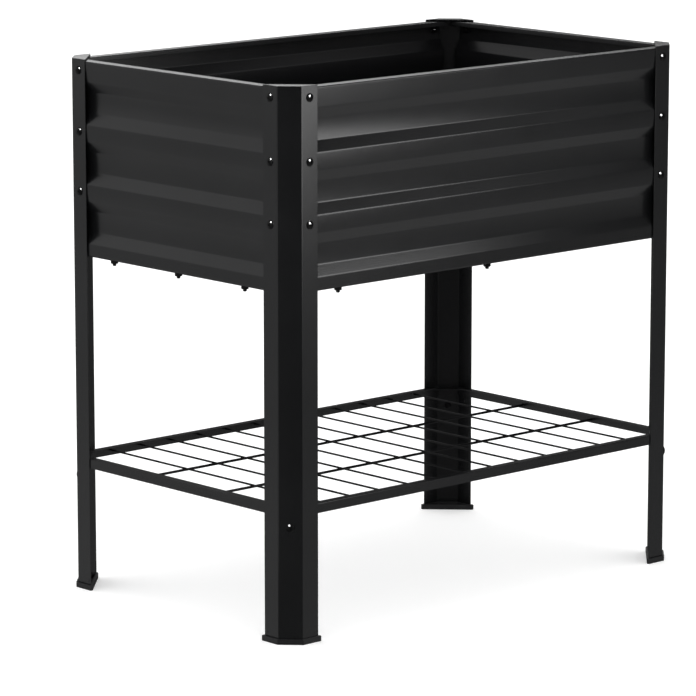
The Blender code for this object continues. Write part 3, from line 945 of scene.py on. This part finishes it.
def facing(turn, elevation):
    """The direction at this angle from +X and this elevation, in degrees."""
    around, up = math.radians(turn), math.radians(elevation)
    return Vector((math.cos(up) * math.cos(around), math.cos(up) * math.sin(around), math.sin(up)))


def build_world():
    """Soft patches of light that all rays but the camera's see, and an even white that the camera sees."""
    world = bpy.data.worlds.new("studio")
    bpy.context.scene.world = world
    world.use_nodes = True
    tree = world.node_tree
    background = tree.nodes["Background"]
    at = tree.nodes.new("ShaderNodeTexCoord").outputs["Generated"]
    total = None
    for turn, elevation, reach, strength in WORLD_PATCHES:
        dot = tree.nodes.new("ShaderNodeVectorMath")
        dot.operation = "DOT_PRODUCT"
        dot.inputs[1].default_value = facing(turn, elevation)
        tree.links.new(at, dot.inputs[0])
        patch = spread(tree, dot.outputs["Value"], 0.0, strength, math.cos(math.radians(reach)), 1.0)
        patch.node.interpolation_type = "SMOOTHSTEP"
        if total is not None:
            add = tree.nodes.new("ShaderNodeMath")
            tree.links.new(total, add.inputs[0])
            tree.links.new(patch, add.inputs[1])
            patch = add.outputs[0]
        total = patch
    path = tree.nodes.new("ShaderNodeLightPath")
    seen = tree.nodes.new("ShaderNodeMix")
    seen.inputs["B"].default_value = 1.0
    tree.links.new(path.outputs["Is Camera Ray"], seen.inputs["Factor"])
    tree.links.new(total, seen.inputs["A"])
    tree.links.new(seen.outputs["Result"], background.inputs["Strength"])
    background.inputs["Color"].default_value = (1, 1, 1, 1)


def build_lights():
    """An even sky for the floor, softboxes for the coat, and bright boxes for the fasteners' domes."""
    sky = bpy.data.lights.new("soft_sky", "SUN")
    sky.angle = math.pi
    sky.energy = SKY_STRENGTH
    place_light("soft_sky", sky, (0, 0, 3), (0, 0, -1)).visible_glossy = False
    groups = {
        "all": None,
        "not_fasteners": light_group("passed_by_front_box", FASTENERS, "EXCLUDE"),
        "far_walls": light_group("far_walls", FAR_WALLS, "INCLUDE"),
        "not_shelf": light_group("passed_by_end_boxes", SHELF, "EXCLUDE"),
        "fasteners": light_group("lit_by_sparkles", FASTENERS, "INCLUDE"),
    }
    for name, spot, direction, size_x, size_y, radiance, roll, group in SOFTBOXES:
        box = reflected_box(name, spot, direction, size_x, size_y, radiance, roll)
        box.light_linking.receiver_collection = groups[group]
    corner = Vector((-HALF_LENGTH, -HALF_WIDTH, SPARKLE_HEIGHT))
    for name, away, size in SPARKLES:
        spot = corner + SPARKLE_DISTANCE * Vector(away)
        box = reflected_box(name, spot, -Vector(away), size, size, SPARKLE_RADIANCE)
        box.light_linking.receiver_collection = groups["fasteners"]


def build_camera():
    """The camera stands low and far off the front left corner, with a long lens."""
    data = bpy.data.cameras.new("camera")
    data.sensor_width = SENSOR_WIDTH
    data.lens = FOCAL_LENGTH
    data.clip_end = 200
    camera = bpy.data.objects.new("camera", data)
    camera.location = CAMERA_SPOT
    camera.rotation_mode = "QUATERNION"
    camera.rotation_quaternion = facing(CAMERA_TURN, -CAMERA_PITCH).to_track_quat("-Z", "Y")
    bpy.context.scene.collection.objects.link(camera)
    bpy.context.scene.camera = camera


bpy.context.scene.view_settings.view_transform = "Standard"
coat = powder_coat("charcoal_powder_coat", (0.0052, 0.0054, 0.0058), specular=0.5)
shelf_coat = powder_coat("shelf_powder_coat", (0.0050, 0.0052, 0.0056), specular=0.5)
wire_coat = powder_coat("wire_powder_coat", (0.0030, 0.0031, 0.0034), specular=0.15)
plastic = moulded_plastic("black_moulded_plastic", (0.0080, 0.0080, 0.0086), roughness=0.45, specular=0.45)
plating = black_plating("black_zinc_plating", (0.0030, 0.0030, 0.0031), roughness=0.13, specular=0.08)
build_body()
build_shelf()
build_fasteners()
build_floor()
build_world()
build_lights()
build_camera()
